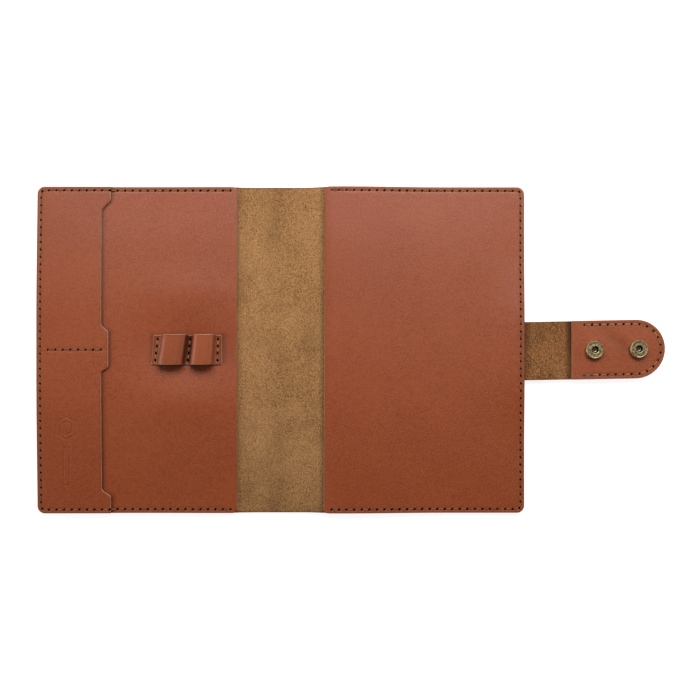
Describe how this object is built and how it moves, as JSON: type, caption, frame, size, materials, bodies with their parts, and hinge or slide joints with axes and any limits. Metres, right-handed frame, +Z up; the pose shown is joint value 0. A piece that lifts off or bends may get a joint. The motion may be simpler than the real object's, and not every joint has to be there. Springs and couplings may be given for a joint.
{
  "type": "leather notebook cover",
  "caption": "Leather notebook cover lying open, with an inner flap on each board, a card pocket, pen loops and a snap strap.",
  "frame": {"origin": "centre of the spine's underside, on the surface that the open cover lies on", "axes": "+X from the spine towards the strap, +Y along the spine, +Z up, out of the cover's inside"},
  "size_m": [0.4224, 0.22, 0.0155],
  "materials": {
    "leather_smooth": "smooth vegetable-tanned leather, soft sheen",
    "leather_suede": "flesh side, matt short nap",
    "thread_brown": "waxed twisted thread",
    "thread_amber": "waxed twisted thread",
    "antique_brass": "antique, worn",
    "spring_brass": "bright wire"
  },
  "bodies": {
    "back_board": {"back_cover_leather": "leather_smooth", "back_flap": "leather_smooth", "strap_anchor": "leather_suede", "thread_back_edge": "thread_brown"},
    "spine": {"spine_leather": "leather_suede"},
    "front_board": {"front_cover_leather": "leather_smooth", "front_flap": "leather_smooth", "card_pocket": "leather_smooth", "pen_loops": "leather_smooth", "thread_front_edge": "thread_brown", "thread_card_divider": "thread_brown", "thread_pen_loop_left": "thread_brown", "thread_pen_loop_middle": "thread_brown", "thread_pen_loop_right": "thread_brown", "snap_stud_near": "antique_brass", "snap_stud_tip": "antique_brass", "snap_eyelet_near": "antique_brass", "snap_eyelet_tip": "antique_brass"},
    "strap_middle": {"strap_bridge": "leather_suede"},
    "strap_tip": {"strap_end": "leather_suede", "strap_lining": "leather_smooth", "thread_strap_end": "thread_amber", "snap_cap_near": "antique_brass", "snap_cap_tip": "antique_brass", "snap_socket_near": "antique_brass", "snap_socket_tip": "antique_brass", "snap_spring_near": "spring_brass", "snap_spring_tip": "spring_brass"}
  },
  "joints": [
    {"name": "back_fold", "type": "hinge", "parent": "back_board", "child": "spine", "pos_m": [0.012, 0, 0.002], "axis": [0, 1, 0], "range_deg": [0, 90]},
    {"name": "front_fold", "type": "hinge", "parent": "spine", "child": "front_board", "pos_m": [-0.012, 0, 0.002], "axis": [0, 1, 0], "range_deg": [0, 88.37]},
    {"name": "strap_root_fold", "type": "hinge", "parent": "back_board", "child": "strap_middle", "pos_m": [0.165, 0, 0.0043], "axis": [0, -1, 0], "range_deg": [0, 90]},
    {"name": "strap_end_fold", "type": "hinge", "parent": "strap_middle", "child": "strap_tip", "pos_m": [0.195, 0, 0.0043], "axis": [0, -1, 0], "range_deg": [0, 90]}
  ]
}
